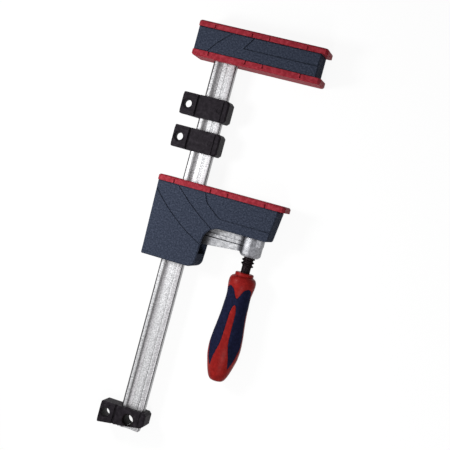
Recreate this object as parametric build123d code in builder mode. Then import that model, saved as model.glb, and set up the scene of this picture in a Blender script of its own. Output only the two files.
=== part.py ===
from build123d import *
import math
import os

# Parallel clamp of 300 mm capacity, lying on its side, in millimetres.
# X runs along the jaws, away from the bar. Y runs along the bar, towards the fixed jaw.
# Z is square to the broad side of the bar and points up. The origin is on the bar's
# centre line, in the plane of the fixed jaw's clamping face.

os.makedirs("parts", exist_ok=True)

# Bar: rolled steel rail with a shallow channel along both broad sides
bar_width = 26.0
bar_thickness = 9.5
bar_edge_radius = 2.0
bar_end_chamfer = 0.8
channel_mouth = 12.6
channel_floor = 6.2
channel_depth = 1.6
bar_reach = 414.5

# Jaws, seen on their broad side
throat = 95.5
jaw_heel = 23.2
jaw_opening = 133.0
pad_width = 36.0
pad_thickness = 6.5
pad_chamfer = 1.6
pad_tip_corner = 3.0
pad_heel_corner = 1.5
pad_overhang = 1.0
pad_tip_overhang = 6.2
pad_heel_overhang = 0.7
pad_notch_width = 1.3
pad_notch_depth = 1.8
pad_notch_height = 4.2
pad_notch_inner = 19.5
pad_notch_outer = 103.6
pad_notch_middle = 34.5
lug_length = 6.0
lug_width = 4.0
lug_reach = 6.0
lug_places = (-20.0, 62.0)
cover_wall = 2.4
cover_edge_chamfer = 1.2
cover_corner_radius = 1.6
groove_width = 1.2
groove_depth = 1.3
rib_thickness = 2.0
core_half_depth = 9.0

# Fixed jaw
fixed_cover_height = 25.8
fixed_core_tip_gap = 7.4
fixed_core_heel_gap = 6.8
fixed_rib_places = (16.0, 28.0, 55.0, 70.0, 85.0)
jaw_pin_radius = 4.0
bar_top_sink = 1.3
# Styling grooves of the covers, as shares of a cover's length from its heel and height from its top
fixed_groove_short = ((0.304, -0.04), (0.19, 0.485), (0.108, 1.04))
fixed_groove_long = ((0.469, -0.04), (0.397, 0.53), (1.01, 0.53))

# Moving jaw
moving_height = 82.4
moving_arm_depth = 34.8
moving_nose_slope = 4.0
moving_nose_radius = 3.0
moving_heel_slope = 1.8
moving_foot_width = 42.6
moving_foot_slope = 1.8
moving_foot_radius = 8.5
moving_throat_radius = 16.5
moving_beam_depth = 18.0
moving_core_tip_gap = 7.6
moving_web_width = 6.4
moving_web_gap = 0.3
moving_core_chamfer = 2.0
moving_ring_depth = 14.6
moving_ring_wall = 5.0
moving_rib_places = (55.0, 68.0, 89.0)
arm_window_depth = 67.0
arm_window_cut = 6.0
arm_window_wall = 4.4
moving_groove_bend = 15.0
moving_groove_long = ((0.4, -0.01), (0.43, 0.13), (0.564, 0.296), (1.01, 0.296))
moving_groove_middle = ((0.166, -0.01), (0.337, 0.238), (0.538, 0.461))
moving_groove_low = ((-0.01, 0.075), (0.218, 0.432), (0.49, 0.7))

# Spindle and handle
spindle_place = 81.0
thread_radius = 6.9
thread_length = 44.4
neck_radius = 5.0
tip_radius = 4.5
tip_length = 7.2
handle_gap = 8.0
handle_bore_depth = 92.0
handle_length = 121.0
collar_radius = 10.2
collar_height = 4.5
shoulder_radius = 14.8
shoulder_place = 12.0
waist_radius = 13.1
waist_share = 0.235
belly_radius = 17.6
belly_share = 0.68
tail_radius = 8.6
tail_chamfer = 2.3
end_radius = 4.3
handle_side_count = 24
# Between the places above, the outline passes these shares of the way and of the change in radius
shoulder_curve = ((0.36, 0.7),)
belly_curve = ((0.345, 0.28), (0.66, 0.6))
tail_curve = ((0.5, 0.27), (0.9, 0.79))
grip_proud = 0.25
grip_count = 4
grip_turn = 5.0
grip_flat = 16.9
# Floor of a grip's pocket, as shares of the handle's length and of the belly's radius
grip_floor = (
    (0.134, 0.84), (0.182, 0.677), (0.256, 0.491), (0.327, 0.491),
    (0.39, 0.677), (0.68, 0.852), (0.76, 0.903), (0.884, 0.76),
)
handle_pin_radius = 1.8
handle_pin_sink = 0.3

# Thrust cup
cup_radius = 8.0
cup_depth = 8.0
cup_lip = 0.5
cup_floor = 1.5

# Sliding arm
arm_head_height = 20.0
arm_head_left = 22.0
arm_head_right = 24.5
arm_half_depth = 9.5
arm_corner_chamfer = 2.0
arm_beam_root = 3.0
arm_beam_half_depth = 7.0
arm_beam_rise = 2.7
arm_beam_sag = 1.6
arm_recess_depth = 1.6
arm_web_depth = 6.4
arm_bead_depth = 4.0
arm_groove_depth = 0.9
arm_rest_drop = 41.0
arm_boss_radius = 11.8
arm_boss_chamfer = 2.8
arm_boss_height = 27.3
arm_boss_rise = 6.0
arm_tail_length = 10.6
arm_tail_half_depth = 10.4
arm_tail_depth = 8.4
arm_window_play = 1.0
grip_pin_radius = 2.5
grip_pin_inset = 3.4
spring_thickness = 0.7
spring_width = 8.0
spring_length = 12.0
spring_rise = 1.0
spring_bow = 1.6

# Rail supports and end stop
block_height = 24.4
block_half_depth = 12.0
block_right_wall = 5.6
block_left_wall = 2.8
block_corner_chamfer = 2.6
block_edge_chamfer = 1.8
flange_reach = 34.6
flange_front = 10.5
flange_thickness = 8.0
flange_root = 1.0
flange_corner_chamfer = 1.0
block_hole_radius = 4.2
block_hole_sink = 1.8
flange_pad_right = -18.2
flange_pad_height = 18.4
flange_pad_proud = 0.8
hole_place = -27.6
side_line_width = 2.0
side_line_depth = 1.2
right_line_place = 12.8
flange_line_width = 2.6
flange_line_depth = 3.0
flange_line_place = -16.6
gusset_thickness = 2.6
gusset_length = 13.0
brake_radius = 2.4
brake_place = 8.6
brake_sink = 0.4
upper_support_top = -39.6
lower_support_top = -76.4
stop_inset = 23.5
stop_taper = 8.0
stop_hole_radius = 5.2
stop_hole_sink = 1.0
stop_pin_radius = 6.9
stop_pin_bore = 6.1
stop_pin_slot = 1.4

# Clearances
bar_slip = 0.15
bar_window_gap = 0.5
core_fit = 0.1
thread_slip = 0.1
tip_slip = 0.1
pin_gap = 0.2
guide_thickness = 1.2

# Places worked out from the sizes above
half_bar = bar_width / 2
half_bar_depth = bar_thickness / 2
pad_tip = half_bar + throat
pad_heel = -half_bar - jaw_heel
cover_half = pad_width / 2 - pad_overhang
cover_inner = cover_half - cover_wall
cover_tip = pad_tip - pad_tip_overhang
cover_heel = pad_heel + pad_heel_overhang
fixed_bottom = pad_thickness
fixed_top = fixed_bottom + fixed_cover_height
fixed_middle = (fixed_bottom + fixed_top) / 2
jaw_back = fixed_top + pad_thickness
bar_top = jaw_back - bar_top_sink
moving_face = -jaw_opening
moving_top = moving_face - pad_thickness
moving_bottom = moving_top - moving_height
moving_arm_under = moving_top - moving_arm_depth
beam_top = moving_top - cover_wall
beam_under = beam_top - moving_beam_depth
ring_under = moving_bottom + cover_wall
ring_top = ring_under + moving_ring_depth
core_left = cover_heel + moving_heel_slope + cover_wall + moving_web_gap
fixed_core_heel = cover_heel + cover_wall + fixed_core_heel_gap
fixed_core_tip = cover_tip - cover_wall - fixed_core_tip_gap
moving_core_tip = cover_tip - cover_wall - moving_core_tip_gap
ring_right = half_bar + bar_slip + guide_thickness + moving_ring_wall
guide_x = half_bar + bar_slip + guide_thickness
guide_z = half_bar_depth + bar_slip + guide_thickness
head_top = moving_face - arm_rest_drop
head_under = head_top - arm_head_height
boss_top = head_top + arm_boss_rise
boss_under = boss_top - arm_boss_height
stop_top = stop_inset - bar_reach
stop_middle = stop_top - block_height / 2
cup_top = beam_under + cup_depth
tip_end = cup_top - cup_floor
thread_top = tip_end - tip_length
thread_under = thread_top - thread_length
handle_top = thread_under - handle_gap
waist_place = waist_share * handle_length
belly_place = belly_share * handle_length
tail_place = handle_length - tail_chamfer


def write(piece, name):
    """Labels a finished piece and writes it as one STEP file."""
    piece.part.label = name
    export_step(piece.part, f"parts/{name}.step")


def across(y):
    """The plane square to the bar at height y. It faces down the bar, and its own y is Z."""
    return Plane.XZ.offset(-y)


def bar_slot(low, high, gap):
    """Cuts the way of the bar, with a gap all round, out of the part in hand."""
    with BuildSketch(across(high)) as slot:
        Rectangle(bar_width + 2 * gap, bar_thickness + 2 * gap)
    extrude(slot.sketch, amount=high - low, mode=Mode.SUBTRACT)


# The bar
with BuildPart() as bar:
    with BuildSketch(across(bar_top)) as bar_section:
        Rectangle(bar_width, bar_thickness)
        fillet(bar_section.vertices(), bar_edge_radius)
        for side in (1, -1):
            with BuildLine():
                Polyline(
                    (-channel_mouth / 2, side * half_bar_depth),
                    (-channel_floor / 2, side * (half_bar_depth - channel_depth)),
                    (channel_floor / 2, side * (half_bar_depth - channel_depth)),
                    (channel_mouth / 2, side * half_bar_depth),
                    close=True,
                )
            make_face(mode=Mode.SUBTRACT)
    extrude(amount=bar_top + bar_reach)
    chamfer(bar.faces().sort_by(Axis.Y)[0].edges(), bar_end_chamfer)
    with Locations((0, stop_middle, half_bar_depth)):
        Hole(stop_pin_radius)
    with Locations((0, fixed_middle, half_bar_depth)):
        Hole(jaw_pin_radius)
write(bar, "bar")


def jaw_pad(back, outward):
    """A clip-on pad. back is where it meets the cover, and outward is the way its face looks."""
    face = back + outward * pad_thickness
    with BuildPart() as pad:
        with BuildSketch(across(max(back, face))) as plan:
            with Locations(((pad_tip + pad_heel) / 2, 0)):
                Rectangle(pad_tip - pad_heel, pad_width)
            chamfer(plan.vertices().group_by(Axis.X)[-1], pad_tip_corner)
            chamfer(plan.vertices().group_by(Axis.X)[0], pad_heel_corner)
        extrude(amount=pad_thickness)
        outer = pad.faces().sort_by(Axis.Y)[-1 if outward > 0 else 0]
        chamfer(outer.edges(), pad_chamfer)
        notch_places = [
            pad_notch_middle + side * gap / 2
            for gap in (pad_notch_inner, pad_notch_outer)
            for side in (1, -1)
        ]
        with Locations(
            *[(x, back, side * pad_width / 2) for x in notch_places for side in (1, -1)]
        ):
            Box(pad_notch_width, 2 * pad_notch_height, 2 * pad_notch_depth, mode=Mode.SUBTRACT)
        bar_slot(min(back, face), max(back, face), bar_window_gap)
        with BuildSketch(across(back if outward > 0 else back + lug_reach)):
            with Locations(*[(x, 0) for x in lug_places]):
                Rectangle(lug_length, lug_width)
        extrude(amount=lug_reach)
    return pad


def lug_seats(back, outward):
    """Cuts the seats of a pad's clip lugs out of the part in hand."""
    with BuildSketch(across(back if outward > 0 else back + lug_reach)) as seats:
        with Locations(*[(x, 0) for x in lug_places]):
            Rectangle(lug_length, lug_width)
    extrude(seats.sketch, amount=lug_reach, mode=Mode.SUBTRACT)


# The three red pads: the clamping faces of both jaws and the spreading face at the back
fixed_jaw_pad = jaw_pad(fixed_bottom, -1)
write(fixed_jaw_pad, "fixed_jaw_pad")
fixed_jaw_back_pad = jaw_pad(fixed_top, 1)
write(fixed_jaw_back_pad, "fixed_jaw_back_pad")
moving_jaw_pad = jaw_pad(moving_top, 1)
write(moving_jaw_pad, "moving_jaw_pad")


def fixed_outline():
    """The fixed jaw's cover seen on its broad side, in the sketch in hand."""
    with Locations(((cover_tip + cover_heel) / 2, fixed_middle)):
        Rectangle(cover_tip - cover_heel, fixed_cover_height)


def moving_outline():
    """The moving jaw's cover seen on its broad side, in the sketch in hand."""
    heel_low = cover_heel + moving_heel_slope
    foot_low = moving_foot_width - half_bar
    with BuildLine() as edge:
        FilletPolyline(
            (heel_low, moving_bottom + moving_foot_radius),
            (heel_low, moving_bottom),
            (foot_low - moving_foot_slope, moving_bottom),
            (foot_low, moving_arm_under),
            (cover_tip - moving_nose_slope, moving_arm_under),
            (cover_tip, moving_top),
            (cover_heel, moving_top),
            radius=[
                cover_corner_radius,
                moving_foot_radius,
                moving_throat_radius,
                moving_nose_radius,
                cover_corner_radius,
            ],
        )
        Line((cover_heel, moving_top), (heel_low, moving_bottom + moving_foot_radius))
    make_face(edge.edges())


def cover_points(shares, top, height):
    """Places on the broad side of a cover, from shares of its length and of its height."""
    length = cover_tip - cover_heel
    return [(cover_heel + along * length, top - down * height) for along, down in shares]


def cover_tray(outline, ribs, rib_low, rib_high):
    """The upper half of a jaw's cover: a skin with a wall round it, and ribs that hold the core."""
    with BuildPart() as tray:
        with BuildSketch():
            outline()
        extrude(amount=cover_half)
        chamfer(tray.faces().sort_by(Axis.Z)[-1].edges(), cover_edge_chamfer)
        with BuildSketch():
            outline()
            offset(amount=-cover_wall, mode=Mode.REPLACE)
        extrude(amount=cover_inner, mode=Mode.SUBTRACT)
        with BuildSketch(Plane.XY.offset(core_half_depth)):
            with Locations(*[(x, (rib_low + rib_high) / 2) for x in ribs]):
                Rectangle(rib_thickness, rib_high - rib_low)
        extrude(amount=cover_inner - core_half_depth)
    return tray.part


# Fixed jaw covers, with two styling grooves on the broad side
with BuildPart() as fixed_jaw_cover_front:
    add(cover_tray(fixed_outline, fixed_rib_places, fixed_bottom + cover_wall, fixed_top - cover_wall))
    bar_slot(fixed_bottom, fixed_top, bar_window_gap)
    lug_seats(fixed_bottom, -1)
    lug_seats(fixed_top, 1)
    with BuildSketch(Plane.XY.offset(cover_half)):
        with BuildLine():
            ThreePointArc(*cover_points(fixed_groove_short, fixed_top, fixed_cover_height))
        trace(line_width=groove_width)
        with BuildLine():
            Polyline(*cover_points(fixed_groove_long, fixed_top, fixed_cover_height))
        trace(line_width=groove_width)
    extrude(amount=-groove_depth, mode=Mode.SUBTRACT)
write(fixed_jaw_cover_front, "fixed_jaw_cover_front")
with BuildPart() as fixed_jaw_cover_rear:
    mirror(fixed_jaw_cover_front.part, about=Plane.XY)
write(fixed_jaw_cover_rear, "fixed_jaw_cover_rear")

# Fixed jaw core: a cast beam that the bar is pinned into
with BuildPart() as fixed_jaw_core:
    with BuildSketch(Plane.XY.offset(-core_half_depth)):
        with Locations(((fixed_core_tip + fixed_core_heel) / 2, fixed_middle)):
            Rectangle(fixed_core_tip - fixed_core_heel, fixed_cover_height - 2 * cover_wall)
    extrude(amount=2 * core_half_depth)
    bar_slot(fixed_bottom + cover_wall, fixed_top - cover_wall, core_fit)
    lug_seats(fixed_bottom, -1)
    lug_seats(fixed_top, 1)
    with Locations((0, fixed_middle, core_half_depth)):
        Hole(jaw_pin_radius)
write(fixed_jaw_core, "fixed_jaw_core")

# The dowel that holds the bar in the fixed jaw
with BuildPart() as fixed_jaw_pin:
    with BuildSketch(Plane.XY.offset(-core_half_depth)):
        with Locations((0, fixed_middle)):
            Circle(jaw_pin_radius)
    extrude(amount=2 * core_half_depth)
write(fixed_jaw_pin, "fixed_jaw_pin")

# Moving jaw covers, open underneath and at the throat where the arm passes
with BuildPart() as moving_jaw_cover_front:
    add(cover_tray(moving_outline, moving_rib_places, beam_under, beam_top))
    window_left = moving_foot_width - half_bar - arm_window_cut
    window_right = cover_tip - moving_nose_slope - arm_window_wall
    with BuildSketch():
        with Locations((window_left, beam_under)):
            Rectangle(
                window_right - window_left,
                beam_under - moving_top + arm_window_depth,
                align=(Align.MIN, Align.MAX),
            )
    extrude(amount=cover_inner, mode=Mode.SUBTRACT)
    bar_slot(moving_bottom, moving_top, bar_window_gap)
    lug_seats(moving_top, 1)
    with BuildSketch(Plane.XY.offset(cover_half)):
        with BuildLine():
            FilletPolyline(
                *cover_points(moving_groove_long, moving_top, moving_height), radius=moving_groove_bend
            )
        trace(line_width=groove_width)
        for shares in (moving_groove_middle, moving_groove_low):
            with BuildLine():
                ThreePointArc(*cover_points(shares, moving_top, moving_height))
            trace(line_width=groove_width)
    extrude(amount=-groove_depth, mode=Mode.SUBTRACT)
write(moving_jaw_cover_front, "moving_jaw_cover_front")
with BuildPart() as moving_jaw_cover_rear:
    mirror(moving_jaw_cover_front.part, about=Plane.XY)
write(moving_jaw_cover_rear, "moving_jaw_cover_rear")

# Moving jaw core: a C-shaped casting with a beam, a web behind the bar and a lower ring
with BuildPart() as moving_jaw_core:
    with BuildSketch(Plane.XY.offset(-core_half_depth)) as core_plan:
        with BuildLine():
            Polyline(
                (core_left, beam_top),
                (moving_core_tip, beam_top),
                (moving_core_tip, beam_under),
                (core_left + moving_web_width, beam_under),
                (core_left + moving_web_width, ring_top),
                (ring_right, ring_top),
                (ring_right, ring_under),
                (core_left, ring_under),
                close=True,
            )
        make_face()
        chamfer(core_plan.vertices().group_by(Axis.X)[1], moving_core_chamfer)
    extrude(amount=2 * core_half_depth)
    bar_slot(ring_under, beam_top, bar_slip + guide_thickness)
    lug_seats(moving_top, 1)
    with BuildSketch(across(cup_top)):
        with Locations((spindle_place, 0)):
            Circle(cup_radius)
    extrude(amount=cup_depth, mode=Mode.SUBTRACT)
write(moving_jaw_core, "moving_jaw_core")


def bar_guide(low, high):
    """A nylon bush pressed into the core, which runs on the bar."""
    with BuildPart() as guide:
        with BuildSketch(across(high)):
            Rectangle(2 * guide_x, 2 * guide_z)
            Rectangle(bar_width + 2 * bar_slip, bar_thickness + 2 * bar_slip, mode=Mode.SUBTRACT)
        extrude(amount=high - low)
    return guide


upper_bar_guide = bar_guide(beam_under, beam_top)
write(upper_bar_guide, "upper_bar_guide")
lower_bar_guide = bar_guide(ring_under, ring_top)
write(lower_bar_guide, "lower_bar_guide")

# The steel cup in the core that the spindle's tip presses into
with BuildPart() as thrust_cup:
    with BuildSketch(across(cup_top)):
        with Locations((spindle_place, 0)):
            Circle(cup_radius)
    extrude(amount=cup_depth + cup_lip)
    with BuildSketch(across(tip_end)):
        with Locations((spindle_place, 0)):
            Circle(tip_radius + tip_slip)
    extrude(amount=cup_depth + cup_lip, mode=Mode.SUBTRACT)
write(thrust_cup, "thrust_cup")

# Sliding arm: a casting that grips the bar with its head and holds the spindle in its boss
arm_window = half_bar + arm_window_play
with BuildPart() as sliding_arm:
    with BuildSketch(Plane.XY.offset(-arm_half_depth)) as head_plan:
        with Locations(((arm_head_right - arm_head_left) / 2, (head_top + head_under) / 2)):
            Rectangle(arm_head_left + arm_head_right, arm_head_height)
        chamfer(head_plan.vertices(), arm_corner_chamfer)
    extrude(amount=2 * arm_half_depth)
    with BuildSketch(Plane.XY.offset(-arm_beam_half_depth)):
        with BuildLine():
            Polyline(
                (arm_head_right - arm_beam_root, head_top),
                (spindle_place, head_top),
                (spindle_place, head_under + arm_beam_rise),
                (spindle_place - arm_boss_radius, head_under + arm_beam_rise),
                (arm_head_right - arm_beam_root, head_under - arm_beam_sag),
                close=True,
            )
        make_face()
    extrude(amount=2 * arm_beam_half_depth)
    for side in (1, -1):
        with BuildSketch(Plane.XY.offset(side * arm_beam_half_depth)):
            with Locations((arm_head_right, head_top)):
                Rectangle(
                    spindle_place - arm_head_right, arm_web_depth, align=(Align.MIN, Align.MAX)
                )
        extrude(amount=-side * arm_recess_depth, mode=Mode.SUBTRACT)
        with BuildSketch(Plane.XY.offset(side * arm_beam_half_depth)):
            with Locations((arm_head_right, head_top - arm_web_depth - arm_bead_depth)):
                Rectangle(
                    spindle_place - arm_head_right, arm_groove_depth, align=(Align.MIN, Align.MAX)
                )
        extrude(amount=-side * arm_recess_depth, mode=Mode.SUBTRACT)
    with BuildSketch(across(head_top)):
        with Locations((spindle_place, 0)):
            Rectangle(arm_tail_length, 2 * arm_tail_half_depth, align=(Align.MIN, Align.CENTER))
    extrude(amount=arm_tail_depth)
    with BuildSketch(across(boss_top)):
        with Locations((spindle_place, 0)):
            Circle(arm_boss_radius)
    extrude(amount=arm_boss_height)
    boss_end = sliding_arm.faces().sort_by_distance((spindle_place, boss_under, 0))[0]
    chamfer(boss_end.edges(), arm_boss_chamfer)
    with BuildSketch(across(boss_top)):
        with Locations((spindle_place, 0)):
            Circle(thread_radius + thread_slip)
    extrude(amount=arm_boss_height, mode=Mode.SUBTRACT)
    with BuildSketch(across(head_top)):
        Rectangle(2 * arm_window, bar_thickness + 2 * bar_window_gap)
    extrude(amount=arm_head_height, mode=Mode.SUBTRACT)
    pin_x = half_bar + pin_gap + grip_pin_radius
    pin_places = ((-pin_x, head_top - grip_pin_inset), (pin_x, head_under + grip_pin_inset))
    with BuildSketch(Plane.XY.offset(-arm_half_depth)):
        with Locations(*pin_places):
            Circle(grip_pin_radius)
    extrude(amount=2 * arm_half_depth, mode=Mode.SUBTRACT)
    spring_low = head_under + spring_rise
    seat_depth = spring_bow + spring_thickness + pin_gap - arm_window_play
    with BuildSketch(across(spring_low + spring_length)):
        with Locations((-arm_window, 0)):
            Rectangle(seat_depth, bar_thickness + 2 * bar_window_gap, align=(Align.MAX, Align.CENTER))
    extrude(amount=spring_length, mode=Mode.SUBTRACT)
write(sliding_arm, "sliding_arm")

# Two hardened pins that bite the bar's edges when the arm tilts
with BuildPart() as arm_grip_pins:
    with BuildSketch(Plane.XY.offset(-arm_half_depth)):
        with Locations(*pin_places):
            Circle(grip_pin_radius)
    extrude(amount=2 * arm_half_depth)
write(arm_grip_pins, "arm_grip_pins")

# A bowed leaf spring that keeps the arm from slipping along the bar
with BuildPart() as arm_spring:
    seat = -arm_window - seat_depth
    with BuildSketch(Plane.XY.offset(-spring_width / 2)):
        with BuildLine():
            ThreePointArc(
                (seat, spring_low),
                (seat + spring_bow, spring_low + spring_length / 2),
                (seat, spring_low + spring_length),
            )
            Line((seat, spring_low + spring_length), (seat + spring_thickness, spring_low + spring_length))
            ThreePointArc(
                (seat + spring_thickness, spring_low + spring_length),
                (seat + spring_bow + spring_thickness, spring_low + spring_length / 2),
                (seat + spring_thickness, spring_low),
            )
            Line((seat + spring_thickness, spring_low), (seat, spring_low))
        make_face()
    extrude(amount=spring_width)
write(arm_spring, "arm_spring")

# Spindle: tip, thread and the neck inside the handle, as one turned rod
with BuildPart() as spindle:
    with BuildSketch(across(tip_end)):
        with Locations((spindle_place, 0)):
            Circle(tip_radius)
    extrude(amount=tip_length)
    with BuildSketch(across(thread_top)):
        with Locations((spindle_place, 0)):
            Circle(thread_radius)
    extrude(amount=thread_length)
    with BuildSketch(across(thread_under)):
        with Locations((spindle_place, 0)):
            Circle(neck_radius)
    extrude(amount=handle_gap + handle_bore_depth)
    with BuildSketch(Plane.YZ.offset(spindle_place - neck_radius)):
        with Locations((handle_top - collar_height / 2, 0)):
            Circle(handle_pin_radius)
    extrude(amount=2 * neck_radius, mode=Mode.SUBTRACT)
write(spindle, "spindle")


def between(start, finish, curve):
    """Points of an outline from start towards finish, and finish itself."""
    radius, below = start
    last_radius, last_below = finish
    points = [
        (radius + change * (last_radius - radius), below + way * (last_below - below))
        for way, change in curve
    ]
    return points + [finish]


def handle_side():
    """Radius and distance below the top, down the side of the handle's outline."""
    collar = (collar_radius, collar_height)
    shoulder = (shoulder_radius, shoulder_place)
    waist = (waist_radius, waist_place)
    belly = (belly_radius, belly_place)
    tail = (tail_radius, tail_place)
    return [
        (collar_radius, 0),
        collar,
        *between(collar, shoulder, shoulder_curve),
        waist,
        *between(waist, belly, belly_curve),
        *between(belly, tail, tail_curve),
        (end_radius, handle_length),
    ]


def handle_body(proud):
    """The handle's solid, standing proud of its real surface, from flat faces between the turns."""
    turns = []
    for radius, below in handle_side():
        angles = [math.tau * step / handle_side_count for step in range(handle_side_count)]
        turns.append(
            [
                (
                    spindle_place + (radius + proud) * math.sin(angle),
                    handle_top - below,
                    (radius + proud) * math.cos(angle),
                )
                for angle in angles
            ]
        )
    faces = [Face(Wire.make_polygon(turns[0])), Face(Wire.make_polygon(turns[-1]))]
    for upper, lower in zip(turns, turns[1:]):
        for step in range(handle_side_count):
            corners = [upper[step - 1], upper[step], lower[step], lower[step - 1]]
            faces.append(Face(Wire.make_polygon(corners)))
    return Solid(Shell(faces))


# Pockets of the soft grips. Each floor dips below the round outline, which cuts a leaf out
# of it, and at the waist the four pockets run together.
with BuildPart() as grip_pockets:
    for step in range(grip_count):
        turn = math.radians((step + 0.5) * 360 / grip_count + grip_turn)
        outward = (math.sin(turn), 0, math.cos(turn))
        sideways = (-math.cos(turn), 0, math.sin(turn))
        with BuildSketch(Plane((spindle_place, handle_top, 0), x_dir=outward, z_dir=sideways)):
            floor = [(out * belly_radius, -below * handle_length) for below, out in grip_floor]
            with BuildLine():
                Polyline(
                    *floor,
                    (2 * belly_radius, floor[-1][1]),
                    (2 * belly_radius, floor[0][1]),
                    close=True,
                )
            make_face()
        extrude(amount=belly_radius, both=True)

# One soft sleeve: the four grips, a little flat across
with BuildPart() as handle_grips:
    add(handle_body(grip_proud))
    with BuildSketch(across(handle_top)):
        with Locations((spindle_place, 0)):
            Rectangle(2 * grip_flat, 2 * grip_flat, rotation=45 - grip_turn)
    extrude(amount=handle_length, mode=Mode.INTERSECT)
    add(grip_pockets.part, mode=Mode.INTERSECT)
write(handle_grips, "handle_grips")

# Hard handle body that the sleeve is moulded round
with BuildPart() as handle_core:
    add(handle_body(0))
    add(grip_pockets.part, mode=Mode.SUBTRACT)
    with BuildSketch(across(handle_top)):
        with Locations((spindle_place, 0)):
            Circle(neck_radius)
    extrude(amount=handle_bore_depth, mode=Mode.SUBTRACT)
    with BuildSketch(Plane.YZ.offset(spindle_place - collar_radius)):
        with Locations((handle_top - collar_height / 2, 0)):
            Circle(handle_pin_radius)
    extrude(amount=2 * collar_radius, mode=Mode.SUBTRACT)
write(handle_core, "handle_core")

# Cross pin through the handle's collar and the spindle
with BuildPart() as handle_pin:
    with BuildSketch(Plane.YZ.offset(spindle_place - collar_radius + handle_pin_sink)):
        with Locations((handle_top - collar_height / 2, 0)):
            Circle(handle_pin_radius)
    extrude(amount=2 * (collar_radius - handle_pin_sink))
write(handle_pin, "handle_pin")


def rail_block(top, taper, flange_back, hole_radius, hole_sink):
    """A moulded block round the bar, with a bored flange on the side away from the throat."""
    middle = top - block_height / 2
    body_left = -half_bar - bar_slip - block_left_wall
    body_right = half_bar + bar_slip + block_right_wall
    slope = taper / (body_right + flange_reach)

    def under(x):
        return top - block_height + slope * (x + flange_reach)

    with BuildPart() as block:
        with BuildSketch(Plane.XY.offset(-block_half_depth)) as body_plan:
            with BuildLine():
                Polyline(
                    (body_left, top),
                    (body_right, top),
                    (body_right, under(body_right)),
                    (body_left, under(body_left)),
                    close=True,
                )
            make_face()
            chamfer(body_plan.vertices().group_by(Axis.X)[-1], block_corner_chamfer)
        extrude(amount=2 * block_half_depth)
        ends = block.faces().filter_by(Axis.Z)
        outer = [edge for edge in ends.edges() if edge.center().X > half_bar + bar_slip]
        chamfer(outer, block_edge_chamfer)
        with BuildSketch(Plane.XY.offset(flange_back)) as flange_plan:
            with BuildLine():
                Polyline(
                    (-flange_reach, top),
                    (body_left + flange_root, top),
                    (body_left + flange_root, under(body_left + flange_root)),
                    (-flange_reach, under(-flange_reach)),
                    close=True,
                )
            make_face()
            chamfer(flange_plan.vertices().group_by(Axis.X)[0], flange_corner_chamfer)
        extrude(amount=flange_front - flange_back)
        with BuildSketch(Plane.XY.offset(flange_front)):
            with Locations((flange_pad_right, middle)):
                Rectangle(
                    flange_reach + flange_pad_right, flange_pad_height, align=(Align.MAX, Align.CENTER)
                )
        extrude(amount=flange_pad_proud)
        if flange_back > 0:
            for low in (top - gusset_thickness, top - block_height):
                with BuildSketch(across(low + gusset_thickness)):
                    with BuildLine():
                        Polyline(
                            (body_left + flange_root, flange_back + flange_root),
                            (body_left - gusset_length, flange_back + flange_root),
                            (body_left + flange_root, flange_root - block_half_depth),
                            close=True,
                        )
                    make_face()
                extrude(amount=gusset_thickness)
        bar_slot(top - block_height, top, bar_slip)
        with Locations(
            (right_line_place, middle, block_half_depth), (right_line_place, middle, -block_half_depth)
        ):
            Box(side_line_width, 2 * block_height, 2 * side_line_depth, mode=Mode.SUBTRACT)
        with Locations((flange_line_place, middle, block_half_depth)):
            Box(flange_line_width, 2 * block_height, 2 * flange_line_depth, mode=Mode.SUBTRACT)
        with Locations((hole_place, middle, flange_front + flange_pad_proud)):
            CounterSinkHole(hole_radius, hole_radius + hole_sink, counter_sink_angle=90)
    return block


def rail_support(top):
    """A block that slides on the rail, with the seat of its brake plug."""
    with BuildPart() as support:
        add(rail_block(top, 0, flange_front - flange_thickness, block_hole_radius, block_hole_sink).part)
        with BuildSketch(Plane.XY.offset(half_bar_depth)):
            with Locations((brake_place, top - block_height / 2)):
                Circle(brake_radius)
        extrude(amount=block_half_depth, mode=Mode.SUBTRACT)
    return support


def brake_plug(top):
    """A nylon plug, pushed in to press on the bar."""
    with BuildPart() as plug:
        with BuildSketch(Plane.XY.offset(half_bar_depth + bar_slip)):
            with Locations((brake_place, top - block_height / 2)):
                Circle(brake_radius)
        extrude(amount=block_half_depth - brake_sink - half_bar_depth - bar_slip)
    return plug


upper_support = rail_support(upper_support_top)
write(upper_support, "upper_support")
upper_brake = brake_plug(upper_support_top)
write(upper_brake, "upper_brake")
lower_support = rail_support(lower_support_top)
write(lower_support, "lower_support")
lower_brake = brake_plug(lower_support_top)
write(lower_brake, "lower_brake")

# End stop: the same block with a full-depth flange and a raked lower edge, pinned to the bar
with BuildPart() as end_stop:
    add(rail_block(stop_top, stop_taper, -flange_front, stop_hole_radius, stop_hole_sink).part)
    with Locations((0, stop_middle, block_half_depth)):
        Hole(stop_pin_radius)
write(end_stop, "end_stop")

# Slotted spring pin through the end stop and the bar
with BuildPart() as end_stop_pin:
    with BuildSketch(Plane.XY.offset(-block_half_depth)):
        with Locations((0, stop_middle)):
            Circle(stop_pin_radius)
            Circle(stop_pin_bore, mode=Mode.SUBTRACT)
            Rectangle(stop_pin_slot, 2 * stop_pin_radius, align=(Align.CENTER, Align.MAX),
                      mode=Mode.SUBTRACT)
    extrude(amount=2 * block_half_depth)
write(end_stop_pin, "end_stop_pin")
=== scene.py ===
# %% [markdown]
# # A parallel clamp, dressed in Blender
#
# The clamp was modelled in CAD first: every piece below is loaded at its real size, in
# metres, with Z up from the bench that the clamp lies on. This script gives those pieces
# their finishes, and makes by itself the parts that CAD leaves plain: the moulded handle,
# the thread of the spindle, and the screws of the covers.

import math

import bmesh
import bpy
from mathutils import Matrix, Vector


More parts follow.
